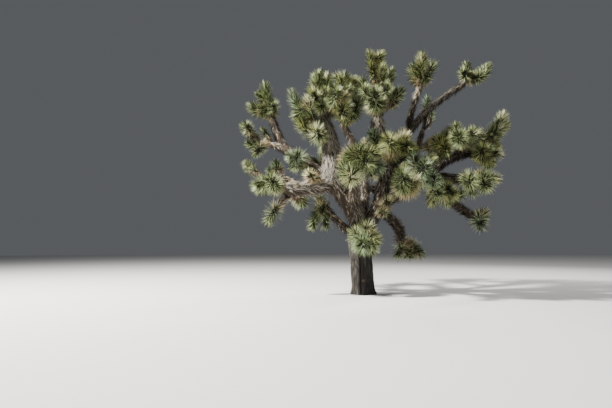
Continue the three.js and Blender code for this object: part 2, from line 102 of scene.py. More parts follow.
# Each mass's stem grows from a share of a limb towards the middle of its heads, and forks. Its heads
# part by the first spread to either side of that middle, and each side parts again by the second.
# Three heads are a single one on the first side and two on the other.
NONE = (0.0, 0.0, 0.0)
MASSES = [
    # name, limb, share, stem radius, heads, and then middle, first spread, second spread
    ("west_crown", "west_upper_arm", 1, 0.1, 3,
     (-3.3, 1.45, 6.45), (0.05, 0.05, 0.35), (0.45, -0.4, -0.1)),
    ("west_outer_heads", "west_upper_bough", 0.97, 0.12, 3,
     (-3.7, 0.9, 4.9), (-0.2, 0.2, 0.42), (0.15, -0.2, -0.2)),
    ("west_under_head", "west_upper_bough", 0.6, 0.07, 1,
     (-1.9, -0.6, 3.85), NONE, NONE),
    ("west_thin_heads", "west_bough", 0.6, 0.075, 2,
     (-3.35, 1.3, 4.1), (-0.55, 0.3, 0.05), NONE),
    ("west_end_heads", "west_bough", 1, 0.09, 4,
     (-2.7, -1.05, 3.1), (0.05, -0.43, 0.0), (0.23, -0.17, 0.06)),
    ("west_hanging_heads", "west_bough", 0.97, 0.075, 2,
     (-2.22, -0.25, 2.41), (-0.38, -0.65, -0.31), NONE),
    ("west_inner_tuft", "west_bough", 0.15, 0.07, 1,
     (-1.5, -1.0, 3.38), NONE, NONE),
    ("low_west_heads", "low_west_bough", 1, 0.09, 3,
     (-1.3, 0.25, 2.4), (0.02, -0.12, 0.42), (0.22, -0.15, 0.02)),
    ("northwest_left_heads", "northwest_bough", 0.4, 0.085, 4,
     (-1.65, -0.9, 5.2), (-0.12, 0.05, 0.45), (-0.24, 0.15, 0.14)),
    ("northwest_top_left", "northwest_bough", 0.97, 0.115, 4,
     (-1.25, 0.0, 6.25), (0.0, 0.5, 0.4), (0.18, 0.13, 0.05)),
    ("northwest_top_right", "northwest_bough", 0.99, 0.12, 4,
     (-0.5, -0.42, 6.05), (0.1, 0.65, 0.42), (0.1, 0.1, -0.05)),
    ("cross_heads", "northwest_bough", 0.3, 0.085, 4,
     (0.2, -1.5, 3.65), (-0.1, 0.1, 0.2), (-0.15, -0.3, 0.0)),
    ("centre_low_heads", "centre_bough", 1, 0.085, 3,
     (-0.3, -1.8, 3.25), (0.0, -0.3, -0.2), (0.2, -0.25, -0.05)),
    ("back_bough_heads", "back_bough", 1, 0.09, 4,
     (-0.35, 0.9, 5.85), (-0.05, 0.6, 0.35), (0.2, -0.3, 0.2)),
    ("back_west_heads", "back_west_bough", 1, 0.09, 4,
     (-1.25, 2.7, 4.5), (-0.35, 0.15, 0.15), (0.15, 0.35, 0.25)),
    ("back_east_heads", "back_east_bough", 1, 0.09, 4,
     (1.4, 2.9, 4.0), (0.35, 0.15, 0.15), (-0.15, 0.35, 0.2)),
    ("back_middle_heads", "back_stem", 0.9, 0.09, 4,
     (0.1, 2.5, 4.9), (0.25, 0.25, 0.25), (-0.25, 0.25, -0.2)),
    ("pillar_heads", "north_bough", 0.25, 0.08, 3,
     (0.74, -1.0, 4.32), (-0.45, 0.3, 0.2), (-0.08, 0.15, 0.22)),
    ("north_left_heads", "north_bough", 0.93, 0.095, 3,
     (0.25, -0.2, 6.0), (-0.2, 0.4, 0.35), (-0.1, -0.25, 0.05)),
    ("north_right_heads", "north_bough", 0.97, 0.09, 3,
     (0.9, 0.3, 6.15), (-0.2, -0.6, -0.1), (0.1, -0.25, -0.07)),
    ("north_top_heads", "north_bough", 1, 0.11, 4,
     (0.6, 0.35, 7.0), (-0.2, 0.05, 0.25), (-0.15, -0.4, -0.1)),
    ("northeast_heads", "northeast_arm", 1, 0.082, 4,
     (1.78, -0.2, 6.58), (0.12, -0.1, 0.15), (-0.13, 0.15, 0.2)),
    ("northeast_far_heads", "northeast_long_arm", 1, 0.078, 4,
     (3.75, 1.8, 7.2), (0.12, 0.3, 0.22), (0.38, 0.1, 0.0)),
    ("inner_east_heads", "inner_east_bough", 1, 0.088, 2,
     (2.25, 2.0, 6.05), (-0.1, -0.3, 0.15), NONE),
    ("inner_east_front", "inner_east_bough", 0.95, 0.075, 2,
     (2.58, 0.45, 4.53), (-0.22, -0.85, -0.5), NONE),
    ("east_upper_heads", "east_upper_bough", 0.6, 0.08, 3,
     (3.0, 0.1, 4.7), (0.35, 0.6, 0.15), (-0.05, -0.45, -0.3)),
    ("east_far_heads", "east_upper_bough", 1, 0.09, 2,
     (4.2, 0.85, 5.15), (0.15, 0.25, 0.25), NONE),
    ("east_drooping_heads", "east_upper_bough", 0.97, 0.09, 4,
     (3.6, 0.2, 4.0), (-0.1, -0.2, 0.15), (0.2, 0.5, 0.05)),
    ("east_end_heads", "east_lower_bough", 1, 0.09, 3,
     (3.4, -0.45, 3.2), (0.0, 0.45, 0.15), (0.2, 0.3, 0.15)),
    ("east_low_heads", "east_lower_bough", 0.9, 0.075, 2,
     (2.85, -1.1, 2.9), (-0.1, -0.3, 0.1), NONE),
    ("east_under_heads", "east_bough", 0.95, 0.085, 4,
     (2.15, -0.7, 2.65), (0.2, 0.0, 0.0), (0.0, -0.5, 0.05)),
    ("east_front_heads", "east_bough", 0.35, 0.085, 3,
     (1.3, -1.5, 3.28), (0.15, 0.3, 0.15), (-0.15, -0.15, 0.05)),
    ("east_middle_heads", "east_bough", 0.6, 0.08, 3,
     (1.65, -1.7, 3.3), (0.2, 0.0, -0.3), (-0.1, 0.25, 0.15)),
    ("east_hanging_heads", "east_hanging_bough", 1, 0.07, 2,
     (3.5, 0.6, 2.15), (0.1, 0.2, 0.2), NONE),
    ("trunk_front_heads", "trunk", 0.97, 0.09, 4,
     (0.05, -0.85, 1.62), (-0.1, 0.1, 0.2), (0.16, 0.08, 0.12)),
    ("east_stem_tufts", "east_stem", 0.35, 0.07, 2,
     (0.65, -0.85, 2.5), (0.05, -0.05, 0.15), NONE),
    ("low_east_heads", "low_east_bough", 1, 0.11, 3,
     (1.35, 1.15, 1.15), (-0.3, -0.2, -0.05), (-0.12, 0.1, 0.1)),
]

# Finer twigs whose heads fill the crown's outline: the mass and where the head ends
FILLING = [
    ("northwest_top_left", (-1.27, 0.3, 6.7)),
    ("northwest_top_right", (-0.76, 0.3, 6.58)),
    ("northwest_top_right", (-0.15, 0.7, 6.5)),
    ("northwest_top_right", (-0.5, -0.95, 4.98)),
    ("northwest_top_left", (-1.15, -0.6, 5.35)),
    ("west_crown", (-3.1, 1.1, 5.85)),
    ("west_crown", (-3.45, 1.4, 6.5)),
    ("northwest_left_heads", (-1.7, -0.65, 5.4)),
    ("northwest_left_heads", (-1.86, -0.75, 5.1)),
    ("east_far_heads", (4.15, 1.0, 4.9)),
    ("east_far_heads", (4.4, 1.1, 5.1)),
    ("east_upper_heads", (3.2, 0.4, 4.5)),
    ("east_upper_heads", (3.6, 0.6, 4.62)),
    ("east_drooping_heads", (3.75, 0.6, 4.22)),
    ("east_drooping_heads", (3.65, 0.3, 3.75)),
    ("inner_east_front", (2.4, 0.3, 3.95)),
    ("inner_east_front", (2.15, -0.1, 3.8)),
    ("east_under_heads", (2.7, -0.6, 2.8)),
    ("northeast_heads", (1.56, -0.15, 6.35)),
    ("northeast_heads", (1.88, -0.3, 6.2)),
    ("trunk_front_heads", (-0.15, -0.9, 1.35)),
    ("trunk_front_heads", (0.22, -0.95, 1.3)),
    ("low_west_heads", (-1.15, 0.1, 2.3)),
    ("west_under_head", (-2.1, -0.4, 4.0)),
    ("west_under_head", (-1.95, -0.45, 3.7)),
    ("cross_heads", (0.3, -1.0, 3.3)),
    ("low_east_heads", (1.3, 0.9, 1.12)),
    ("low_east_heads", (1.75, 1.15, 1.2)),
]
# The usual length of such a twig
FILLING_LENGTH = 0.5
# Where along a mass's stem and twigs such a finer twig may start
FILLING_SHARES = (0.35, 0.55, 0.75, 0.9)

# The skins of old and young wood: how fine they are, and how their joints are smoothed
OLD_VOXEL = 0.0155
YOUNG_VOXEL = 0.019
EASE = {"turns": 6, "factor": 0.5}
OLD_WOOD = ("trunk", "west_stem", "east_stem", "back_stem", "northwest_bough", "west_bough", "east_bough")

# The relief of the bark: cells are plates that furrows part, and fibres run along the limb. A plate's
# level is the height on it that stays where the skin was, and its edge is how it rounds off. The salts
# keep one pattern from repeating another.
PLATE = {"trunk": 0.075, "bough": 0.055, "stretch": 5.5, "steepness": 1.6, "edge": 0.7, "level": 0.6}
WARP = {"scale": 1.3, "by": 0.6, "salts": (11, 12, 13)}
FURROW = {"trunk": 0.034, "bough": 0.02}
FIBRE = {"size": 0.016, "stretch": 12.0, "depth": 0.012, "salt": 5}
SWELL = {"size": 0.3, "depth": 0.03, "salt": 7}
# How much plates and fibres each add to how pale the bark is
LIT = {"plate": 0.75, "fibre": 0.25}
# How the bark of two limbs is blended where they meet, and how far outside a limb its bark is worked out
SEAM = {"fade": 0.03, "most": 0.3, "least": 1e-9}
NEAR_LIMB = 0.15
# Large numbers that scatter a cell's place
HASH = (374761393, 668265263, 974634777, 1274126177)
# How grey the bark is at a limb's foot and tip, as usual and where it differs
USUAL_GREY = (0.1, 0.5)
GREYED = {
    "trunk": (0.0, 0.0),
    "west_stem": (-0.1, 0.9),
    "northwest_bough": (1.0, 0.9),
    "west_bough": (0.9, 1.0),
    "east_stem": (0.0, 0.5),
    "east_bough": (0.6, 0.5),
    "north_bough": (0.3, 0.8),
    "northeast_arm": (0.6, 0.8),
    "northeast_long_arm": (0.4, 0.9),
}
# Boughs whose bark is painted darker than usual, as shade, and by how much
PAINTED_BOUGH_SHADE = {
    "west_upper_bough": 0.5,
    "west_upper_arm": 0.5,
    "low_west_bough": 0.35,
    "northeast_bough": 0.3,
    "inner_east_bough": 0.5,
    "east_lower_bough": 0.3,
    "east_hanging_bough": 0.3,
}
# The fold down the trunk's front, where two old stems have grown into one. It deepens over the front
# distance forward of the trunk's middle, and fades out towards the trunk's top.
# In the fold the bark is also darker, as painted shade.
FOLD = {"x": -0.09, "lean": -0.02, "width": 0.04, "depth": 0.075, "front": 0.15, "fade": 0.4}
# The trunk is paler left of its fold, as painted light, and darker right of it, as painted shade: over how
# many of the fold's widths that sets in, how far over the trunk's top it ends and fades, and how strong it
# is. Undersides are darker too, as painted shade.
PAINTED_SIDES = {"widths": 2, "over": 0.2, "fade": 0.3, "below": 0.6, "darker": 0.55, "paler": 0.95}
# Near the ground the relief fades, and no corner sinks below the kept height, or below its own place
# where that is lower
GROUND = {"fade": 0.03, "kept": 0.002}

# Finer twigs: where each leaves its parent, how far it leans from it, its length, and the room that its
# head keeps from other heads, from limbs and from the ends of the mass
SIDE = {"share": (0.35, 0.85), "lean": (0.55, 1.25), "length": (0.42, 0.62), "tries": 18}
ROOM = {"heads": 0.4, "limbs": 0.24, "ends": 0.3, "openings": 0.27}
# How far back from its tip a head's second place to keep clear of is
HEAD_MIDDLE = 0.3

# Where the sky shows through the crown, as seen from the front: each opening's place and radius on the
# upright plane through the trunk
EYE = np.array((0.0, -14.0, 1.38))
OPENINGS = [
    # x, z, radius
    (1.5, 2.4, 0.5), (2.1, 2.15, 0.35), (2.45, 2.1, 0.3), (1.15, 5.4, 0.28), (1.15, 5.95, 0.24),
    (1.25, 6.55, 0.2), (-1.95, 4.7, 0.3), (2.1, 4.9, 0.25), (2.3, 5.15, 0.25), (2.95, 5.3, 0.45),
    (2.4, 6.3, 0.37), (-1.6, 2.4, 0.26), (-2.25, 2.45, 0.24), (-3.3, 2.6, 0.28), (-0.05, 4.75, 0.2),
    (-2.5, 6.2, 0.22), (-0.2, 6.9, 0.37), (-2.85, 4.45, 0.16), (-0.65, 2.75, 0.16), (-2.35, 3.85, 0.14),
    (-3.45, 6.05, 0.2), (-1.05, 3.9, 0.3), (-0.95, 4.5, 0.2), (1.85, 5.0, 0.25), (-0.75, 3.3, 0.2),
    (-3.8, 4.4, 0.15), (-2.95, 4.5, 0.1), (-3.65, 3.4, 0.12),
]

# Driving sizes of a head. Its outer leaves stand over shorter ones, near black as painted shade, and a skirt
# of dead ones hangs under it. A head's clothed length is a share of its twig's, within limits.
CLOTHED = {"share": (0.7, 0.95), "least": 0.34, "most": 0.85, "of_twig": 0.97}
# Masses whose heads differ: how large they are and how long they are clothed
HEADS_OF = {
    "west_crown": (1.05, 1.4),
    "cross_heads": (1.15, 1.1),
    "centre_low_heads": (1.15, 1.0),
    "trunk_front_heads": (1.1, 1.0),
    "pillar_heads": (1.1, 1.0),
    "east_front_heads": (1.1, 1.0),
    "west_outer_heads": (0.85, 0.9),
    "west_thin_heads": (0.8, 0.55),
    "northwest_left_heads": (1.0, 1.2),
    "northeast_heads": (0.98, 1.5),
    "northeast_far_heads": (0.88, 1.3),
    "north_top_heads": (0.88, 1.0),
    "north_right_heads": (0.9, 0.75),
    "inner_east_heads": (0.78, 0.42),
    "west_hanging_heads": (1.12, 0.45),
    "west_inner_tuft": (0.8, 0.8),
    "east_far_heads": (1.0, 1.25),
    "east_stem_tufts": (0.75, 0.6),
    "low_east_heads": (1.0, 0.8),
}
HEAD_SIZE = (0.94, 1.08)
SIDE_HEAD_SIZE = (0.8, 0.98)
GOLDEN_TURN = math.pi * (3 - math.sqrt(5))
# The club that a head's leaves stand on: its radius, and how deep in it their feet are
CLUB = {"radius": 0.075, "inside": 0.8, "narrower": 0.6, "core": 0.7}
LEAF = {
    "per_metre": 600,
    "length": 0.285,
    "width": 0.017,
    "keel": 0.35,
    "widest": 0.4,
    "crowding": 0.9,
    "turn_stray": 0.15,
    "length_stray": (0.8, 1.12),
    "width_stray": (0.85, 1.15),
    "bend": (-0.03, 0.05),
    "straw_bend": (0.18, 0.08),
}
# How far leaves lean from their twig at the foot and the tip of a head
LEAF_LEAN = {"low": 2.2, "high": 0.45, "power": 1.1, "stray": 0.22, "limits": (0.05, 2.6)}
# Leaves at a head's very tip are shorter
TIP_LEAVES = {"from": 0.85, "shorter": 0.2}
SHADED = {
    "per_metre": 420,
    "length": (0.4, 0.72),
    "width": 0.024,
    "reach": 0.96,
    "lean": 2.0,
    "upright": 1.5,
    "lean_stray": 0.25,
    "bend": (0.0, 0.05),
}
DEAD = {"length": 0.22, "width": 0.018, "widest": 0.45}
SKIRT = {
    "length": 0.4,
    "over": 0.14,
    "per_metre": 420,
    "lean": (2.2, 2.8),
    "length_stray": (0.6, 1.25),
    "width_stray": (0.8, 1.2),
    "bend": (0.15, 0.12),
}
# How wide a leaf is part-way along, as a share of its foot's width
LEAF_SHOULDER = 0.85
# Leaves that reach lower than this above the ground are left out
LEAST_LEAF_HEIGHT = 0.02

# Dead leaves on the limbs
THATCH = {
    "per_square_metre": 1100,
    "crowding": 0.7,
    "lift": (0.1, 0.75),
    "stray": 0.3,
    "droop": 0.35,
    "sunk": 0.01,
    "length_stray": (0.5, 1.2),
    "width_stray": (0.8, 1.3),
    "bend": (0.1, 0.2),
}
# How deep the thatch is, and the most of a limb's tip radius that it may be
THATCH_DEPTH = {"usual": 0.045, "of_tip": 0.35}
# Where the thatch starts along old wood, young wood, a mass's stem or a certain bough, and how dense it is
OLD_THATCH = (0.3, 1.0)
YOUNG_THATCH = (0.05, 1.1)
STEM_THATCH = (0.0, 1.2)
THATCHED = {"northwest_bough": (-0.05, 1.25), "west_bough": (0.02, 1.1)}
# Below a limb most dead leaves are dark brown as painted shade: where that starts, as the downward part of a
# leaf's side
PAINTED_UNDERSIDE = {"from": -0.2, "share": 0.8}

# Broken stubs of old limbs: the limb, how far along it, which way the stub stands, its length outside
# the bark and its radius
STUBS = [
    ("trunk", 0.1, (0.02, -1.0, 0.75), 0.07, 0.055),
    ("west_bough", 0.62, (-0.55, -0.85, 0.05), 0.12, 0.075),
    ("northwest_bough", 0.5, (-0.6, 0.5, 0.5), 0.1, 0.04),
    ("east_stem", 0.5, (-0.5, -0.7, 0.3), 0.08, 0.045),
    ("east_upper_bough", 0.5, (-0.2, -0.3, 1.0), 0.14, 0.035),
    ("back_stem", 0.4, (0.5, 0.8, 0.3), 0.09, 0.045),
    ("northeast_long_arm", 0.25, (0.3, 0.8, -0.4), 0.08, 0.035),
    ("west_upper_bough", 0.45, (0.1, -0.2, -1.0), 0.08, 0.04),
]
STUB_SIDES = 14
STUB_RINGS = [0, 0.5, 0.8, 0.97, 1]
# Splinters: where they start along a stub, how far they stand, and how rough the stub is, by its radius
SPLINTERS = {"from": 0.75, "stand": (-0.6, 0.5), "steepness": 4, "rough": 0.08}
STUB_TAPER = (1.15, 0.9)

# Everything random comes from these
GROWING_SEED = 5
CLOTHING_SEED = 7
STUB_SEED = 3
# Each limb's bark is scattered with numbers this far from the next one's
SALT_STEP = 31

# The most triangles in one piece of leaves
PIECE_ROOM = 190_000

# Each kind of leaf: its colour, a deeper one for some sprays, and its roughness
KINDS = {
    "leaves_sage": ((0.43, 0.5, 0.25), (0.33, 0.39, 0.18), 0.4),
    "leaves_olive": ((0.46, 0.49, 0.21), (0.34, 0.37, 0.14), 0.4),
    "leaves_blue": ((0.38, 0.48, 0.3), (0.29, 0.38, 0.22), 0.4),
    "leaves_young": ((0.72, 0.7, 0.46), (0.6, 0.58, 0.35), 0.4),
    # The next kind is a dark copy of the light leaves, dealt among them as painted shade
    "leaves_deep": ((0.06, 0.072, 0.028), (0.04, 0.05, 0.019), 0.5),
    # The next kind is near black: painted shade in each head's core
    "leaves_core_shade": ((0.02, 0.022, 0.009), (0.012, 0.013, 0.006), 0.6),
    "thatch_straw": ((0.44, 0.35, 0.2), (0.33, 0.25, 0.13), 0.75),
    "thatch_grey": ((0.42, 0.39, 0.34), (0.26, 0.24, 0.205), 0.85),
    # The dark brown dead leaves are partly real and partly painted shade
    "thatch_brown": ((0.065, 0.048, 0.034), (0.03, 0.023, 0.017), 0.85),
}
# How dead leaves part into straw, grey and brown: on skirts, on stems of masses and on limbs
DEAD_KINDS = ("thatch_straw", "thatch_grey", "thatch_brown")
SKIRT_MIX = (0.35, 0.25, 0.4)
STEM_MIX = (0.25, 0.35, 0.4)
USUAL_MIX = (0.12, 0.48, 0.4)
# Boughs that stand in shade get the most of the dark brown, as painted shade
LIMB_MIXES = {
    "west_stem": (0.05, 0.3, 0.65),
    "east_stem": (0.05, 0.25, 0.7),
    "low_west_bough": (0.1, 0.15, 0.75),
    "east_lower_bough": (0.05, 0.2, 0.75),
    "east_upper_bough": (0.05, 0.25, 0.7),
    "east_hanging_bough": (0.05, 0.15, 0.8),
    "northeast_bough": (0.05, 0.2, 0.75),
    "northeast_arm": (0.1, 0.6, 0.3),
    "northeast_long_arm": (0.12, 0.63, 0.25),
    "inner_east_bough": (0.0, 0.1, 0.9),
    "back_bough": (0.05, 0.15, 0.8),
    "northwest_bough": (0.05, 0.6, 0.35),
    "west_bough": (0.05, 0.6, 0.35),
    "west_upper_bough": (0.05, 0.12, 0.83),
    "west_upper_arm": (0.06, 0.08, 0.86),
    "low_east_bough": (0.1, 0.2, 0.7),
    "back_stem": (0.1, 0.2, 0.7),
    "centre_bough": (0.1, 0.2, 0.7),
}
# A head's tint: its light leaves, its deep ones, the share of young ones near its tip, how far up from
# its foot straw ones reach, and the share of deep ones. Most tints' deep ones are dark copies of the light
# leaves, dealt among them as painted shade; in the pale and golden tints they are a second real tint.
TINTS = {
    "sage": ("leaves_sage", "leaves_deep", 0.0, 0.22, 0.42),
    "olive": ("leaves_olive", "leaves_deep", 0.0, 0.22, 0.42),
    "blue": ("leaves_blue", "leaves_deep", 0.0, 0.22, 0.42),
    "cream": ("leaves_sage", "leaves_deep", 0.45, 0.22, 0.42),
    "pale": ("leaves_blue", "leaves_sage", 0.0, 0.22, 0.42),
    # The next tint deals more of the dark copies, for heads in painted shade
    "painted_shade": ("leaves_sage", "leaves_deep", 0.0, 0.22, 0.62),
    "golden": ("leaves_olive", "thatch_straw", 0.5, 0.6, 0.42),
}
# How far up a head its young leaves start, and the share of straw ones at its foot
YOUNG_FROM = 0.72
STRAW_SHARE = 0.55
USUAL_TINTS = ("sage", "olive", "blue", "cream")
USUAL_SHARES = (0.45, 0.25, 0.15, 0.15)
ALL_SHADE_TINT = ("painted_shade",) * 12
# The tints of a mass's first heads, where they aren't as usual
MASS_TINTS = {
    "west_inner_tuft": ("golden",),
    "west_under_head": ("blue", "blue"),
    "west_crown": ALL_SHADE_TINT,
    "west_outer_heads": ALL_SHADE_TINT,
    "low_west_heads": ALL_SHADE_TINT,
    "northeast_heads": ("olive", *ALL_SHADE_TINT),
    "northeast_far_heads": ALL_SHADE_TINT,
    "pillar_heads": ("blue", "golden", "olive"),
    "northwest_top_right": ("olive", "sage", "golden", "sage"),
    "cross_heads": ("sage", "olive", "sage", "blue"),
    "centre_low_heads": ("cream", "sage", "sage"),
    "east_stem_tufts": ("golden", "cream"),
    "east_middle_heads": ("blue", "blue", "blue"),
    "east_front_heads": ("blue", "sage", "golden"),
    "east_far_heads": ("cream", "cream"),
    "trunk_front_heads": ("cream", "sage", "olive", "pale", "pale", "sage"),
}

# Each bark: its colours in the furrows (dark there as painted shade), on the plates, where it is worn, and
# where it has greyed
BARKS = {
    "trunk_bark": ((0.006, 0.005, 0.004), (0.04, 0.032, 0.026), (0.17, 0.145, 0.125), (0.5, 0.455, 0.4)),
    "bough_bark": ((0.012, 0.009, 0.007), (0.06, 0.047, 0.035), (0.19, 0.16, 0.13), (0.15, 0.125, 0.1)),
    # The twigs and their clubs take the next bark, dark as painted shade in the heads' cores
    "shaded_bark": ((0.015, 0.012, 0.008), (0.05, 0.042, 0.028), (0.11, 0.09, 0.06), (0.09, 0.075, 0.05)),
    "splintered_wood": ((0.1, 0.075, 0.05), (0.5, 0.44, 0.36), (0.7, 0.64, 0.55), (0.5, 0.45, 0.38)),
}

# How bark takes its colour from its relief and its grain, darkest in the furrows as painted shade, how far it
# has greyed in patches, and how rough it is in the furrows and less on the plates
BARK_SHADE = {"relief": 0.85, "grain": 0.5, "less": 0.25, "patches": 1.2}
BARK_BUMP = {"relief": 0.5, "strength": 0.7, "distance": 0.012}
BARK_ROUGH = {"furrow": 0.95, "less": 0.15}
LEAF_LOOK = {"mottle": 0.15, "specular": 0.25}

# Stage: each light's place, width, power and colour
LIGHTS = {
    "key": ((-15, -6, 16), 1.6, 20000, (1, 0.98, 0.94)),
    "fill": ((12, -10, 7), 6.0, 200, (0.9, 0.95, 1)),
    "back": ((9, 14, 14), 4.0, 2600, (1, 0.97, 0.93)),
}
LIT_SPOT = (0, 0, 3.8)
SKY = {"colour": (0.8, 0.84, 0.9, 1), "strength": 0.13}
FLOOR = {"radius": 70, "sides": 96, "drop": 0.002, "colour": (0.78, 0.77, 0.75, 1), "rough": 0.9}
CAMERA = {"rise": 5.04, "turn": 6.83, "lens": 28, "sensor": 36, "far": 500}


# Lines and limbs

def unit(v):
    return v / np.linalg.norm(v, axis=-1, keepdims=True)


class Line:
    """A limb's middle line, from a to b with its middle moved by arch, and one direction square to it."""

    def __init__(self, a, b, arch=NONE):
        self.a = np.array(a, float)
        self.b = np.array(b, float)
        self.control = (self.a + self.b) / 2 + 2 * np.array(arch, float)
        square = np.cross(self.control - self.a, self.b - self.a)
        bent = np.linalg.norm(square) > 1e-6
        self.across = unit(square) if bent else self.any_square()
        steps = self.point(np.linspace(0, 1, LENGTH_STEPS))
        self.length = np.linalg.norm(np.diff(steps, axis=0), axis=1).sum()

    def any_square(self):
        tangent = unit(self.b - self.a)
        helper = (1.0, 0.0, 0.0) if abs(tangent[2]) > 0.9 else (0.0, 0.0, 1.0)
        return unit(np.cross(helper, tangent))

    def point(self, share):
        t = np.asarray(share, float)[..., None]
        return (1 - t) ** 2 * self.a + 2 * t * (1 - t) * self.control + t**2 * self.b

    def tangent(self, share):
        t = np.asarray(share, float)[..., None]
        return unit((1 - t) * (self.control - self.a) + t * (self.b - self.control))

    def outward(self, share, angle):
        """The direction straight out of the line at a share of its length and an angle round it."""
        angle = np.asarray(angle, float)[..., None]
        along = np.cross(self.tangent(share), self.across)
        return np.cos(angle) * self.across + np.sin(angle) * along


class Limb:
    """A trunk, bough or stem: its middle line and its radius at a share of its length and an angle. Its
    skin lies as far inside that radius as its thatch is deep."""

    def __init__(self, name, line, radius, thatch=0.0):
        self.name = name
        self.line = line
        self.radius = radius
        self.skin = lambda share, angle: radius(share, angle) - thatch


def evenly(foot, tip):
    """A radius that goes evenly from foot to tip, whatever the angle."""
    return lambda share, angle: foot + (tip - foot) * np.asarray(share, float) + 0 * angle


def trunk_limb():
    line = Line(NONE, TRUNK["top"], TRUNK["arch"])
    flare = FLARE["height"] / TRUNK["top"][2]

    def radius(share, angle):
        share = np.asarray(share, float)
        left = np.exp(-FLARE["fade"] * share / flare)
        plain = TRUNK["foot_radius"] + (TRUNK["top_radius"] - TRUNK["foot_radius"]) * share
        lobe = 1 + LOBES["depth"] * (LOBES["kept"] + left) * np.cos(LOBES["count"] * angle + LOBES["turn"])
        return (plain + FLARE["width"] * left) * lobe

    return Limb("trunk", line, radius)


def tapering(name, line, foot, tip):
    depth = min(THATCH_DEPTH["usual"], THATCH_DEPTH["of_tip"] * tip)
    return Limb(name, line, evenly(foot, tip), depth)


def grow_limbs():
    limbs = {"trunk": trunk_limb()}
    for name, parent, share, tip, foot_radius, tip_radius, arch in BOUGHS:
        foot = limbs[parent].line.point(share)
        limbs[name] = tapering(name, Line(foot, tip, arch), foot_radius, tip_radius)
    return limbs


# Masses and their twigs

def head_tips(heads, middle, first, second):
    """Where a mass's heads end."""
    if heads == 1:
        return [middle]
    sides = [middle + first, middle - first]
    if heads == 2:
        return sides
    parted = [tip for side in sides for tip in (side + second, side - second)]
    return [sides[0], *parted[2:]] if heads == 3 else parted


def twig_line(foot, tip):
    drop = -TWIG_SAG * np.linalg.norm(tip - foot) * np.sign(tip[2] - foot[2])
    return Line(foot, tip, (0, 0, drop))


class Mass:
    """A stem from a limb to a fork, and a twig on from there to each head's tip."""

    def __init__(self, limbs, name, limb, share, radius, heads, middle, first, second):
        foot = limbs[limb].line.point(share)
        middle, first, second = (np.array(v, float) for v in (middle, first, second))
        fork = foot + FORK_SHARE * (middle - foot)
        self.name = name
        self.stem = tapering(name, Line(foot, fork), radius, radius - STEM_TAPER)
        self.twigs = [twig_line(fork, tip) for tip in head_tips(heads, middle, first, second)]
        self.side_twigs = self.filling_twigs()

    def lines(self):
        return [self.stem.line, *self.twigs]

    def all_twigs(self):
        return self.twigs + self.side_twigs

    def filling_twigs(self):
        """The finer twigs to the places that the crown's outline needs filled, each from the spot on
        the mass that makes it nearest to a usual length."""
        spots = [line.point(share) for line in self.lines() for share in FILLING_SHARES]
        grown = []
        for name, tip in FILLING:
            if name == self.name:
                miss = [abs(np.linalg.norm(spot - tip) - FILLING_LENGTH) for spot in spots]
                grown.append(Line(spots[int(np.argmin(miss))], tip))
        return grown


def seen_in_front(place):
    """Where a place shows on the upright plane through the trunk, seen from the front: x and z."""
    away = place - EYE
    return (EYE + away * (-EYE[1] / away[1]))[[0, 2]]


def in_opening(place):
    spot = seen_in_front(place)
    room = ROOM["openings"]
    return any(math.hypot(spot[0] - x, spot[1] - z) < radius + room for x, z, radius in OPENINGS)


def head_points(twig):
    """Two places in the middle of a head."""
    return [twig.point(1.0), twig.point(max(0.0, 1 - HEAD_MIDDLE / twig.length))]


def clear_of_limbs(place, limbs):
    for limb in limbs.values():
        shares = np.linspace(0, 1, ROOM_STEPS)
        gap = np.linalg.norm(limb.line.point(shares) - place, axis=1) - limb.radius(shares, 0)
        if gap.min() < ROOM["limbs"]:
            return False
    return True


def side_twigs(rng, mass, limbs, heads):
    """The mass's finer twigs: shorter ones that leave the others wherever there is room for a head."""
    low, high = (np.array(corner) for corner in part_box(mass.name))
    grown = []
    for parent in mass.lines():
        for _ in range(SIDE["tries"]):
            share = rng.uniform(*SIDE["share"])
            foot = parent.point(share)
            out = parent.outward(share, rng.uniform(0, 2 * math.pi))
            way = turned(parent.tangent(share), out, rng.uniform(*SIDE["lean"]))
            tip = foot + way * rng.uniform(*SIDE["length"])
            inside = np.all(tip > low + ROOM["ends"]) and np.all(tip < high - ROOM["ends"])
            near = [np.linalg.norm(tip - spot) < ROOM["heads"] for spot in heads]
            if inside and not any(near) and not in_opening(tip) and clear_of_limbs(tip, limbs):
                twig = Line(foot, tip)
                grown.append(twig)
                heads.extend(head_points(twig))
    return grown


def grow_masses(limbs):
    masses = [Mass(limbs, *row) for row in MASSES]
    heads = [spot for mass in masses for twig in mass.all_twigs() for spot in head_points(twig)]
    rng = np.random.default_rng(GROWING_SEED)
    for mass in masses:
        mass.side_twigs += side_twigs(rng, mass, limbs, heads)
    return masses


# A limb's skin

def loft(mesh, line, shares, radius, sides):
    """A closed tube through rings along a line, made by pushing one face on from ring to ring."""
    ring = bmesh.ops.create_circle(mesh, cap_ends=True, segments=sides, radius=1.0)["verts"]
    angles = np.array([math.atan2(v.co.y, v.co.x) for v in ring])
    face = ring[0].link_faces[0]
    for k, share in enumerate(shares):
        if k:
            pushed = bmesh.ops.extrude_face_region(mesh, geom=[face])["geom"]
            face = next(part for part in pushed if isinstance(part, bmesh.types.BMFace))
            angle_at = {tuple(v.co): angle for v, angle in zip(ring, angles)}
            ring = [part for part in pushed if isinstance(part, bmesh.types.BMVert)]
            angles = np.array([angle_at[tuple(v.co)] for v in ring])
        drawn_in = FOOT_ROUND["ring"] if share < 0 else END_ROUND if share == shares[-1] else 1
        wide = radius(share, angles) * drawn_in
        places = line.point(share) + wide[:, None] * line.outward(share, angles)
        for v, place in zip(ring, places):
            v.co = place
    mesh.normal_update()


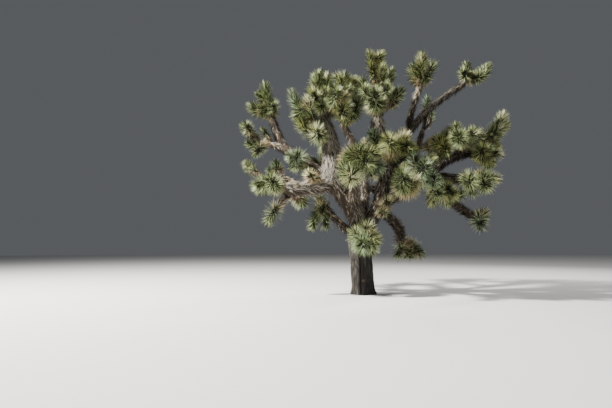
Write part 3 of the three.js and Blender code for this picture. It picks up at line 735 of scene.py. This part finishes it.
def limb_shares(limb):
    """Where a limb's rings stand: its foot is rounded off behind its first full ring, but not the trunk's."""
    length = limb.line.length
    steps = max(FEWEST_RINGS, round(length / RING_EVERY))
    shoulder = 1 - SHOULDER * float(limb.radius(1, 0)) / length
    behind = [] if limb.name == "trunk" else [-FOOT_ROUND["reach"] * float(limb.radius(0, 0)) / length]
    return [*behind, *(shoulder * k / steps for k in range(steps + 1)), 1.0]


def joined_limbs(name, limbs, voxel):
    """The limbs as one closed skin, with their joints run together."""
    mesh = bmesh.new()
    for limb in limbs:
        loft(mesh, limb.line, limb_shares(limb), limb.skin, LIMB_SIDES)
    bmesh.ops.recalc_face_normals(mesh, faces=mesh.faces)
    data = bpy.data.meshes.new(name)
    mesh.to_mesh(data)
    mesh.free()
    rough = bpy.data.objects.new(name + "_rough", data)
    bpy.context.scene.collection.objects.link(rough)
    remesh = rough.modifiers.new("skin", "REMESH")
    remesh.mode = "VOXEL"
    remesh.voxel_size = voxel
    smooth = rough.modifiers.new("ease", "SMOOTH")
    smooth.iterations = EASE["turns"]
    smooth.factor = EASE["factor"]
    joined = rough.evaluated_get(bpy.context.evaluated_depsgraph_get())
    skin = bpy.data.meshes.new_from_object(joined)
    bpy.data.objects.remove(rough)
    bpy.data.meshes.remove(data)
    skin.name = name
    return skin


# Patterns worked out at many places at once

def scattered(cells, salt):
    """A repeatable number from 0 to 1 for each whole-number cell."""
    n = cells[..., 0] * HASH[0] + cells[..., 1] * HASH[1] + cells[..., 2] * HASH[2] + salt * HASH[3]
    n = (n ^ (n >> 13)) * HASH[3] & 0xFFFFFFFF
    n = (n ^ (n >> 16)) * HASH[1] & 0xFFFFFFFF
    return ((n ^ (n >> 15)) & 0xFFFF) / 0xFFFF


def clouds(places, salt=0):
    """Smooth noise from 0 to 1."""
    cell = np.floor(places).astype(np.int64)
    part = places - cell
    part = part * part * (3 - 2 * part)
    total = np.zeros(len(places))
    for corner in np.ndindex(2, 2, 2):
        weight = np.prod(np.where(corner, part, 1 - part), axis=1)
        total += weight * scattered(cell + np.array(corner), salt)
    return total


def plates(places, salt=0):
    """How far a place is inside its plate: 0 in the furrow between two plates, about 1 in the middle."""
    cell = np.floor(places).astype(np.int64)
    first = np.full(len(places), np.inf)
    second = np.full(len(places), np.inf)
    for step in np.ndindex(3, 3, 3):
        near = cell + np.array(step) - 1
        seed = near + np.stack([scattered(near, salt + k) for k in range(3)], axis=1)
        far = np.linalg.norm(places - seed, axis=1)
        second = np.minimum(second, np.maximum(first, far))
        first = np.minimum(first, far)
    return np.clip((second - first) * PLATE["steepness"], 0, 1)


def limb_frame(limb, corners):
    """For each corner: its share along a limb, its place in the limb's own straight frame, and how far
    it stands outside the limb."""
    line = limb.line
    shares = np.linspace(0, 1, FRAME_STEPS)
    points = line.point(shares)
    far = ((corners[:, None, :] - points[None]) ** 2).sum(axis=2)
    share = shares[far.argmin(axis=1)]
    for _ in range(FRAME_ROUNDS):
        ahead = ((corners - line.point(share)) * line.tangent(share)).sum(axis=1)
        share = np.clip(share + ahead / line.length, 0, 1)
    off = corners - line.point(share)
    along = np.cross(line.tangent(share), line.across)
    side = off @ line.across
    rise = (off * along).sum(axis=1)
    out = np.linalg.norm(off, axis=1) - limb.skin(share, np.arctan2(rise, side))
    run = share * line.length + (off * line.tangent(share)).sum(axis=1)
    return share, np.stack([side, rise, run], axis=1), out


def bark_relief(limb, places, salt):
    """How far the bark stands out, in metres, and how far from a furrow each place is, from 0 to 1."""
    kind = "trunk" if limb.name == "trunk" else "bough"
    stretched = places / np.array([1, 1, PLATE["stretch"]]) / PLATE[kind]
    drift = [clouds(stretched * WARP["scale"], salt + k) for k in WARP["salts"]]
    plate = plates(stretched + WARP["by"] * np.stack(drift, axis=1), salt) ** PLATE["edge"]
    fibre = clouds(places / np.array([1, 1, FIBRE["stretch"]]) / FIBRE["size"], salt + FIBRE["salt"])
    swell = clouds(places / SWELL["size"], salt + SWELL["salt"]) - 0.5
    height = FURROW[kind] * (plate - PLATE["level"]) + FIBRE["depth"] * (fibre - 0.5) + SWELL["depth"] * swell
    return height, LIT["plate"] * plate + LIT["fibre"] * fibre


def beside_fold(corners):
    """How far each corner is to the right of the trunk's fold, in widths of the fold."""
    x, _, z = corners.T
    return (x - FOLD["x"] - FOLD["lean"] * z) / FOLD["width"]


def fold_share(corners):
    """How far each corner is in the trunk's fold, from 0 to 1."""
    _, y, z = corners.T
    front = np.clip(-y / FOLD["front"], 0, 1) * np.clip((TRUNK["top"][2] - z) / FOLD["fade"], 0, 1)
    return np.exp(-(beside_fold(corners) ** 2)) * front


def lit_and_shaded_sides(corners):
    """How much painted light the trunk takes left of its fold, and how much painted shade right of it, at
    each corner.
    """
    off = beside_fold(corners) / PAINTED_SIDES["widths"]
    low = np.clip((TRUNK["top"][2] + PAINTED_SIDES["over"] - corners[:, 2]) / PAINTED_SIDES["fade"], 0, 1)
    return low * np.clip(-off, 0, 1), low * np.clip(off, 0, 1)


def read_vectors(skin, name):
    """A skin's corners, or their normals, as rows."""
    values = np.zeros(len(skin.vertices) * 3, np.float32)
    skin.vertices.foreach_get(name, values)
    return values.reshape(-1, 3).astype(float)


def blended_bark(limbs, corners):
    """How far the bark stands out, how far from a furrow it is (darker on some boughs, as painted shade) and
    how grey it
    is, at each corner: worked out along each limb, and blended where limbs meet."""
    total = np.zeros(len(corners))
    sums = np.zeros((3, len(corners)))
    shares = np.linspace(0, 1, REACH_STEPS)
    for order, limb in enumerate(limbs):
        points = limb.line.point(shares)
        reach = float(np.max(limb.radius(shares, 0))) + NEAR_LIMB
        near = np.all((corners > points.min(0) - reach) & (corners < points.max(0) + reach), axis=1)
        share, places, out = limb_frame(limb, corners[near])
        weight = np.exp(-np.clip(out, 0, SEAM["most"]) / SEAM["fade"]) + SEAM["least"]
        height, lit = bark_relief(limb, places, SALT_STEP * order)
        foot, tip = GREYED.get(limb.name, USUAL_GREY)
        # Painted shade: these boughs' bark is darker than usual
        lit = lit * (1 - PAINTED_BOUGH_SHADE.get(limb.name, 0.0))
        total[near] += weight
        sums[:, near] += weight * np.stack([height, lit, foot + (tip - foot) * share])
    return sums / total


def carve(skin, limbs):
    """Gives a skin its bark, with painted light on the trunk's left side and painted shade on its right side,
    on undersides and in the fold.
    """
    corners = read_vectors(skin, "co")
    normals = read_vectors(skin, "normal")
    height, relief, age = blended_bark(limbs, corners)
    below = np.clip(-normals[:, 2], 0, 1)
    side_light, painted_shade = lit_and_shaded_sides(corners)
    fold = fold_share(corners)
    # Painted shade: the bark is darker on undersides, right of the trunk's fold and in the fold itself
    relief = relief * (1 - PAINTED_SIDES["below"] * below) * (1 - PAINTED_SIDES["darker"] * painted_shade) * (1 - fold)
    # Painted light greys the trunk's left side more; undersides grey less, as painted shade
    age = age + PAINTED_SIDES["paler"] * side_light - below
    height = (height - FOLD["depth"] * fold) * np.clip(corners[:, 2] / GROUND["fade"], 0, 1)
    moved = corners + normals * height[:, None]
    moved[:, 2] = np.maximum(moved[:, 2], np.minimum(corners[:, 2], GROUND["kept"]))
    moved[:, 2] = np.maximum(moved[:, 2], 0)
    skin.vertices.foreach_set("co", moved.astype(np.float32).ravel())
    for name, values in (("relief", relief), ("age", age)):
        skin.attributes.new(name, "FLOAT", "POINT").data.foreach_set("value", values.astype(np.float32))
    skin.polygons.foreach_set("use_smooth", np.ones(len(skin.polygons), bool))
    skin.update()


# Leaves

def leaf_shape(across, keel, widest):
    """One dagger leaf, 1 long and 1 wide, keeled along its middle: its corners and its faces."""
    mesh = bmesh.new()
    bmesh.ops.create_grid(mesh, x_segments=across, y_segments=2, size=0.5)
    bmesh.ops.translate(mesh, verts=mesh.verts, vec=(0, 0.5, 0))
    tip = [v for v in mesh.verts if v.co.y > 0.9]
    bmesh.ops.pointmerge(mesh, verts=tip, merge_co=(0, 1, 0))
    for v in mesh.verts:
        middle = 0.2 < v.co.y < 0.8
        v.co.x *= LEAF_SHOULDER if middle else 1.0
        v.co.z = keel * abs(v.co.x)
        if middle:
            v.co.y = widest
    bmesh.ops.triangulate(mesh, faces=mesh.faces)
    mesh.verts.index_update()
    corners = np.array([tuple(v.co) for v in mesh.verts])
    faces = np.array([[v.index for v in f.verts] for f in mesh.faces])
    mesh.free()
    return corners, faces


class Leaves:
    """Leaves gathered for one piece: foot, direction, upper side, length, width and bend of each."""

    def __init__(self):
        self.rows = []

    def add(self, foot, ahead, up, length, width, bend):
        count = len(foot)
        sizes = [np.broadcast_to(v, (count,))[:, None] for v in (length, width, bend)]
        self.rows.append(np.hstack([foot, unit(ahead), up, *sizes]))

    def corners(self, shape):
        rows = np.vstack(self.rows)
        foot, ahead, up = rows[:, 0:3], rows[:, 3:6], rows[:, 6:9]
        side = unit(np.cross(ahead, up))
        up = np.cross(side, ahead)
        length, width, bend = (rows[:, k, None, None] for k in (9, 10, 11))
        x, y, z = (shape[None, :, k, None] for k in (0, 1, 2))
        places = foot[:, None] + side[:, None] * x * width + ahead[:, None] * y * length
        return places + up[:, None] * (z * width - bend * length * y**2)


def mesh_of_copies(name, corners, faces):
    """One mesh from the placed corners of many copies of a shape."""
    count, each, _ = corners.shape
    loops = (faces[None] + each * np.arange(count)[:, None, None]).ravel()
    data = bpy.data.meshes.new(name)
    data.vertices.add(count * each)
    data.vertices.foreach_set("co", corners.astype(np.float32).ravel())
    data.loops.add(len(loops))
    data.loops.foreach_set("vertex_index", loops.astype(np.int32))
    data.polygons.add(len(loops) // 3)
    data.polygons.foreach_set("loop_start", np.arange(0, len(loops), 3, dtype=np.int32))
    data.update(calc_edges=True)
    return data


def turned(ahead, out, lean):
    """The direction at an angle from ahead towards out."""
    lean = np.asarray(lean, float)[..., None]
    return np.cos(lean) * ahead + np.sin(lean) * out


def deal(rng, tint, height):
    """The kind of each leaf of a head, by how high in it the leaf stands."""
    light, deep, young, straw, deep_share = TINTS[tint]
    draw = rng.uniform(0, 1, len(height))
    # Most tints' deep leaves are dark copies of the light ones, dealt among them as painted shade
    kinds = np.where(draw < deep_share, deep, light).astype("<U16")
    draw = rng.uniform(0, 1, len(height))
    kinds[(height > YOUNG_FROM) & (draw < young)] = "leaves_young"
    kinds[(height < straw) & (draw < STRAW_SHARE)] = "thatch_straw"
    return kinds


class Clothing:
    """All of the tree's leaves, each gathered for the piece of its kind."""

    def __init__(self):
        self.rng = np.random.default_rng(CLOTHING_SEED)
        self.leaves = {kind: Leaves() for kind in KINDS}

    def spread(self, kinds, foot, way, up, length, width, bend):
        """Deals leaves out to the piece of each one's kind."""
        for kind in np.unique(kinds):
            part = kinds == kind
            self.leaves[kind].add(foot[part], way[part], up[part], length[part], width[part], bend[part])

    def clothed_length(self, twig, factor):
        share = self.rng.uniform(*CLOTHED["share"])
        length = np.clip(share * twig.length, CLOTHED["least"], CLOTHED["most"]) * factor
        return float(min(length, CLOTHED["of_twig"] * twig.length))

    def clothe_head(self, twig, clothed, size, tint):
        """A head's living leaves, in a spiral that opens towards its foot."""
        rng = self.rng
        count = int(LEAF["per_metre"] * clothed)
        height = np.sort(rng.uniform(0, 1, count)) ** LEAF["crowding"]
        share = 1 - (1 - height) * clothed / twig.length
        angle = GOLDEN_TURN * np.arange(count) + rng.normal(0, LEAF["turn_stray"], count)
        out = twig.outward(share, angle)
        ahead = twig.tangent(share)
        lean = LEAF_LEAN["low"] + (LEAF_LEAN["high"] - LEAF_LEAN["low"]) * height ** LEAF_LEAN["power"]
        lean = np.clip(lean + rng.normal(0, LEAF_LEAN["stray"], count), *LEAF_LEAN["limits"])
        way = turned(ahead, out, lean)
        up = turned(ahead, out, lean - math.pi / 2)
        at_tip = np.clip((height - TIP_LEAVES["from"]) / (1 - TIP_LEAVES["from"]), 0, 1)
        grown = 1 - TIP_LEAVES["shorter"] * at_tip
        length = size * LEAF["length"] * grown * rng.uniform(*LEAF["length_stray"], count)
        inside = CLUB["inside"] * CLUB["radius"] * size * (1 - CLUB["narrower"] * height**3)
        foot = twig.point(share) + out * inside[:, None]
        kinds = deal(rng, tint, height)
        straw_bend = rng.normal(*LEAF["straw_bend"], count)
        bend = np.where(kinds == "thatch_straw", straw_bend, rng.normal(*LEAF["bend"], count))
        width = LEAF["width"] * rng.uniform(*LEAF["width_stray"], count)
        self.spread(kinds, foot, way, up, length, width, bend)

    def shade_head(self, twig, clothed, size):
        """The short leaves deep in a head, near black as painted shade in its core."""
        rng = self.rng
        count = int(SHADED["per_metre"] * clothed)
        height = rng.uniform(0, SHADED["reach"], count)
        share = 1 - (1 - height) * clothed / twig.length
        out = twig.outward(share, rng.uniform(0, 2 * math.pi, count))
        ahead = twig.tangent(share)
        lean = SHADED["lean"] - SHADED["upright"] * height + rng.normal(0, SHADED["lean_stray"], count)
        way = turned(ahead, out, lean)
        up = turned(ahead, out, lean - math.pi / 2)
        length = size * LEAF["length"] * rng.uniform(*SHADED["length"], count)
        foot = twig.point(share) + out * (CLUB["core"] * CLUB["radius"] * size)
        bend = rng.normal(*SHADED["bend"], count)
        self.leaves["leaves_core_shade"].add(foot, way, up, length, SHADED["width"], bend)

    def hang_skirt(self, twig, clothed, size):
        """The dead leaves that hang back under a head."""
        rng = self.rng
        reach = min(SKIRT["length"] * size, twig.length - clothed + SKIRT["over"])
        count = int(SKIRT["per_metre"] * reach)
        down = rng.uniform(-SKIRT["over"], reach - SKIRT["over"], count)
        share = np.clip(1 - (clothed + down) / twig.length, 0, 1)
        out = twig.outward(share, rng.uniform(0, 2 * math.pi, count))
        ahead = twig.tangent(share)
        lean = rng.uniform(*SKIRT["lean"], count)
        way = turned(ahead, out, lean) - np.array([0, 0, THATCH["droop"]])
        up = turned(ahead, out, lean - math.pi / 2)
        foot = twig.point(share) + out * (CLUB["core"] * CLUB["radius"])
        length = DEAD["length"] * size * rng.uniform(*SKIRT["length_stray"], count)
        width = DEAD["width"] * rng.uniform(*SKIRT["width_stray"], count)
        kinds = rng.choice(DEAD_KINDS, count, p=SKIRT_MIX)
        self.spread(kinds, foot, way, up, length, width, rng.normal(*SKIRT["bend"], count))

    def thatch_limb(self, limb, first, density, mix):
        """Dead leaves that lie back along a limb from a share of its length, thicker towards its tip."""
        rng = self.rng
        line = limb.line
        area = 2 * math.pi * float(limb.radius(0.5, 0)) * line.length
        count = int(THATCH["per_square_metre"] * density * area)
        share = first + (1 - first) * rng.uniform(0, 1, count) ** THATCH["crowding"]
        angle = rng.uniform(0, 2 * math.pi, count)
        out = line.outward(share, angle)
        ahead = line.tangent(share)
        lift = rng.uniform(*THATCH["lift"], count)
        stray = np.cross(ahead, out) * rng.normal(0, THATCH["stray"], count)[:, None]
        way = turned(-ahead, out, lift) + stray - np.array([0, 0, THATCH["droop"]])
        up = turned(ahead, out, math.pi / 2 - lift)
        foot = line.point(share) + out * (limb.skin(share, angle) - THATCH["sunk"])[:, None]
        length = DEAD["length"] * rng.uniform(*THATCH["length_stray"], count)
        width = DEAD["width"] * rng.uniform(*THATCH["width_stray"], count)
        kinds = rng.choice(DEAD_KINDS, count, p=mix)
        # Painted shade: most dead leaves under the limb are dealt the dark brown
        brown_as_shade = (out[:, 2] < PAINTED_UNDERSIDE["from"]) & (rng.uniform(0, 1, count) < PAINTED_UNDERSIDE["share"])
        kinds[brown_as_shade] = "thatch_brown"
        self.spread(kinds, foot, way, up, length, width, rng.normal(*THATCH["bend"], count))

    def clothe_mass(self, mass):
        self.thatch_limb(mass.stem, *STEM_THATCH, STEM_MIX)
        scale, factor = HEADS_OF.get(mass.name, (1.0, 1.0))
        tints = MASS_TINTS.get(mass.name, ())
        for place, twig in enumerate(mass.all_twigs()):
            sizes = HEAD_SIZE if place < len(mass.twigs) else SIDE_HEAD_SIZE
            size = scale * self.rng.uniform(*sizes)
            clothed = self.clothed_length(twig, factor * size)
            usual = self.rng.choice(USUAL_TINTS, p=USUAL_SHARES)
            self.clothe_head(twig, clothed, size, tints[place] if place < len(tints) else usual)
            self.shade_head(twig, clothed, size)
            self.hang_skirt(twig, clothed, size)

    def thatch_bough(self, name, limb):
        usual = OLD_THATCH if name in OLD_WOOD else YOUNG_THATCH
        self.thatch_limb(limb, *THATCHED.get(name, usual), LIMB_MIXES.get(name, USUAL_MIX))


# Finishes

class Value:
    """A number that a shader works out, so that sums of such numbers are written as Python."""

    def __init__(self, finish, socket):
        self.finish = finish
        self.socket = socket

    def math(self, operation, first, second):
        return self.finish.node("ShaderNodeMath", {"operation": operation}, {0: first, 1: second})

    def __add__(self, other):
        return self.math("ADD", self, other)

    __radd__ = __add__

    def __sub__(self, other):
        return self.math("SUBTRACT", self, other)

    def __rsub__(self, other):
        return self.math("SUBTRACT", other, self)

    def __mul__(self, other):
        return self.math("MULTIPLY", self, other)

    __rmul__ = __mul__


class Finish:
    """A material under construction."""

    def __init__(self, name):
        self.made = bpy.data.materials.new(name)
        self.made.use_nodes = True
        self.tree = self.made.node_tree
        self.tree.nodes.clear()

    def node(self, kind, settings=None, inputs=None, output=0):
        """A node of a type, with its settings made first and then its sockets filled or linked."""
        made = self.tree.nodes.new(kind)
        for name, value in (settings or {}).items():
            if name == "stops":
                self.set_stops(made.color_ramp, value)
            else:
                setattr(made, name, value)
        for name, value in (inputs or {}).items():
            if isinstance(value, Value):
                self.tree.links.new(value.socket, made.inputs[name])
            else:
                made.inputs[name].default_value = value
        return Value(self, made.outputs[output]) if len(made.outputs) else made

    def set_stops(self, ramp, stops):
        while len(ramp.elements) < len(stops):
            ramp.elements.new(0.5)
        for element, (place, colour) in zip(ramp.elements, stops):
            element.position = place
            element.color = (*colour, 1)

    def mix(self, share, first, second):
        return self.node("ShaderNodeMix", {"data_type": "RGBA"}, {0: share, 6: first, 7: second}, 2)

    def attribute(self, name):
        return self.node("ShaderNodeAttribute", {"attribute_name": name}, output=2)

    def places(self):
        return self.node("ShaderNodeTexCoord", output=3)

    def noise(self, scale, detail, rough):
        inputs = {"Scale": scale, "Detail": detail, "Roughness": rough, "Vector": self.places()}
        return self.node("ShaderNodeTexNoise", None, inputs)

    def ramp(self, value, *stops):
        return self.node("ShaderNodeValToRGB", {"stops": stops}, {0: value})

    def bump(self, height, strength, distance):
        inputs = {"Height": height, "Strength": strength, "Distance": distance}
        return self.node("ShaderNodeBump", None, inputs)

    def surface(self, **sockets):
        inputs = {name.replace("_", " "): value for name, value in sockets.items()}
        shader = self.node("ShaderNodeBsdfPrincipled", None, inputs)
        self.node("ShaderNodeOutputMaterial", None, {"Surface": shader})
        return self.made


def solid_colour(rgb):
    return (*rgb, 1)


def bark_finish(name, furrow, plate, worn, greyed):
    """Furrowed bark: dark in the furrows as painted shade, paler on the plates, with grain along it."""
    finish = Finish(name)
    relief = finish.attribute("relief")
    age = finish.attribute("age")
    patches = finish.noise(scale=2.2, detail=4.0, rough=0.6)
    grain = finish.noise(scale=38.0, detail=5.0, rough=0.65)
    lit = relief * BARK_SHADE["relief"] + grain * BARK_SHADE["grain"] - BARK_SHADE["less"]
    base = finish.ramp(lit, (0.12, furrow), (0.5, plate), (0.85, worn))
    grey = finish.mix(lit, solid_colour(furrow), solid_colour(greyed))
    # The grey mix also carries painted light on the trunk's left side and painted shade on undersides
    colour = finish.mix(age * patches * BARK_SHADE["patches"], base, grey)
    height = grain + relief * BARK_BUMP["relief"]
    normal = finish.bump(height, BARK_BUMP["strength"], BARK_BUMP["distance"])
    rough = BARK_ROUGH["furrow"] - BARK_ROUGH["less"] * relief
    return finish.surface(Base_Color=colour, Roughness=rough, Normal=normal)


def leaf_finish(name, colour, deep, rough):
    """A leaf's plain colour, a little deeper in some sprays than in others."""
    finish = Finish(name)
    drift = finish.noise(scale=1.7, detail=2.0, rough=0.5)
    mottle = finish.noise(scale=60.0, detail=2.0, rough=0.6)
    share = finish.ramp(drift, (0.35, (0, 0, 0)), (0.7, (1, 1, 1)))
    tint = finish.mix(share, solid_colour(colour), solid_colour(deep))
    dull = rough + LEAF_LOOK["mottle"] * mottle
    return finish.surface(Base_Color=tint, Roughness=dull, Specular_IOR_Level=LEAF_LOOK["specular"])


# Pieces

def as_piece(data, nodes, material):
    piece = bpy.data.objects.new(data.name, data)
    bpy.context.scene.collection.objects.link(piece)
    data.materials.clear()
    data.materials.append(material)
    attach(piece, "root")
    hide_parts(*nodes)


def wooden_piece(name, group, nodes, voxel, material):
    skin = joined_limbs(name, group, voxel)
    carve(skin, group)
    as_piece(skin, nodes, material)


def bmesh_piece(name, mesh, nodes, material):
    bmesh.ops.recalc_face_normals(mesh, faces=mesh.faces)
    data = bpy.data.meshes.new(name)
    mesh.to_mesh(data)
    mesh.free()
    data.polygons.foreach_set("use_smooth", np.ones(len(data.polygons), bool))
    as_piece(data, nodes, material)


def make_wood(limbs, masses, barks):
    old = [name for name in limbs if name in OLD_WOOD]
    young = [name for name in limbs if name not in OLD_WOOD]
    old_group = [limbs[name] for name in old]
    young_group = [limbs[name] for name in young] + [mass.stem for mass in masses]
    wooden_piece("old_wood", old_group, old, OLD_VOXEL, barks["trunk_bark"])
    wooden_piece("young_wood", young_group, young, YOUNG_VOXEL, barks["bough_bark"])


def make_twigs(masses, material):
    mesh = bmesh.new()
    for mass in masses:
        for twig in mass.all_twigs():
            loft(mesh, twig, TWIG_RINGS, evenly(TWIG_RADIUS, CLUB["radius"]), TWIG_SIDES)
    bmesh_piece("twigs", mesh, [mass.name for mass in masses], material)


def make_stubs(limbs, material):
    """The broken ends of old limbs, splintered round the rim."""
    mesh = bmesh.new()
    rng = np.random.default_rng(STUB_SEED)
    for name, share, way, length, radius in STUBS:
        limb = limbs[name]
        foot = limb.line.point(share)
        way = unit(np.array(way, float))
        line = Line(foot, foot + way * (float(limb.radius(share, 0)) + length))
        before = len(mesh.verts)
        wide = evenly(STUB_TAPER[0] * radius, STUB_TAPER[1] * radius)
        loft(mesh, line, STUB_RINGS, wide, STUB_SIDES)
        mesh.verts.ensure_lookup_table()
        for v in mesh.verts[before:]:
            ahead = np.dot(np.array(v.co) - foot, way) / line.length
            splintered = max(0.0, ahead - SPLINTERS["from"]) * SPLINTERS["steepness"]
            v.co += Vector(way) * (rng.uniform(*SPLINTERS["stand"]) * radius * splintered)
            v.co += Vector(rng.normal(0, SPLINTERS["rough"] * radius, 3))
    bmesh_piece("stubs", mesh, ["trunk"], material)


def make_leaves(limbs, masses):
    clothing = Clothing()
    for mass in masses:
        clothing.clothe_mass(mass)
    for name, limb in limbs.items():
        if name != "trunk":
            clothing.thatch_bough(name, limb)
    nodes = [mass.name for mass in masses]
    dagger = leaf_shape(2, LEAF["keel"], LEAF["widest"])
    strip = leaf_shape(1, 0.0, DEAD["widest"])
    for kind, (colour, deep, rough) in KINDS.items():
        shape, faces = strip if kind in DEAD_KINDS or kind == "leaves_core_shade" else dagger
        most = PIECE_ROOM // len(faces)
        corners = clothing.leaves[kind].corners(shape)
        corners = corners[corners[:, :, 2].min(axis=1) > LEAST_LEAF_HEIGHT]
        material = leaf_finish(kind, colour, deep, rough)
        for part in range(0, len(corners), most):
            data = mesh_of_copies(f"{kind}_{part // most + 1}", corners[part : part + most], faces)
            as_piece(data, nodes, material)


# Stage

def make_floor():
    mesh = bmesh.new()
    sides, radius = FLOOR["sides"], FLOOR["radius"]
    sunk = Matrix.Translation((0, 0, -FLOOR["drop"]))
    bmesh.ops.create_circle(mesh, cap_ends=True, segments=sides, radius=radius, matrix=sunk)
    data = bpy.data.meshes.new("floor")
    mesh.to_mesh(data)
    mesh.free()
    floor = bpy.data.objects.new("floor", data)
    bpy.context.scene.collection.objects.link(floor)
    finish = Finish("floor")
    data.materials.append(finish.surface(Base_Color=FLOOR["colour"], Roughness=FLOOR["rough"]))


def make_light(name, place, width, power, colour):
    lamp = bpy.data.lights.new(name, "AREA")
    lamp.shape = "DISK"
    lamp.size = width
    lamp.energy = power
    lamp.color = colour
    holder = bpy.data.objects.new(name, lamp)
    holder.location = place
    holder.rotation_euler = (Vector(LIT_SPOT) - Vector(place)).to_track_quat("-Z", "Y").to_euler()
    bpy.context.scene.collection.objects.link(holder)


def make_camera():
    camera = bpy.data.cameras.new("camera")
    camera.lens = CAMERA["lens"]
    camera.sensor_width = CAMERA["sensor"]
    camera.clip_end = CAMERA["far"]
    holder = bpy.data.objects.new("camera", camera)
    holder.location = EYE
    holder.rotation_euler = (math.radians(90 + CAMERA["rise"]), 0, math.radians(CAMERA["turn"]))
    bpy.context.scene.collection.objects.link(holder)
    bpy.context.scene.camera = holder


def make_world():
    world = bpy.data.worlds.new("studio")
    world.use_nodes = True
    background = world.node_tree.nodes["Background"]
    background.inputs["Color"].default_value = SKY["colour"]
    background.inputs["Strength"].default_value = SKY["strength"]
    bpy.context.scene.world = world


# The tree and its stage
limbs = grow_limbs()
masses = grow_masses(limbs)
barks = {name: bark_finish(name, *colours) for name, colours in BARKS.items()}
make_wood(limbs, masses, barks)
# The twigs' dark bark is painted shade in the heads' cores
make_twigs(masses, barks["shaded_bark"])
make_stubs(limbs, barks["splintered_wood"])
make_leaves(limbs, masses)
make_floor()
make_world()
make_camera()
for name, settings in LIGHTS.items():
    make_light(name, *settings)
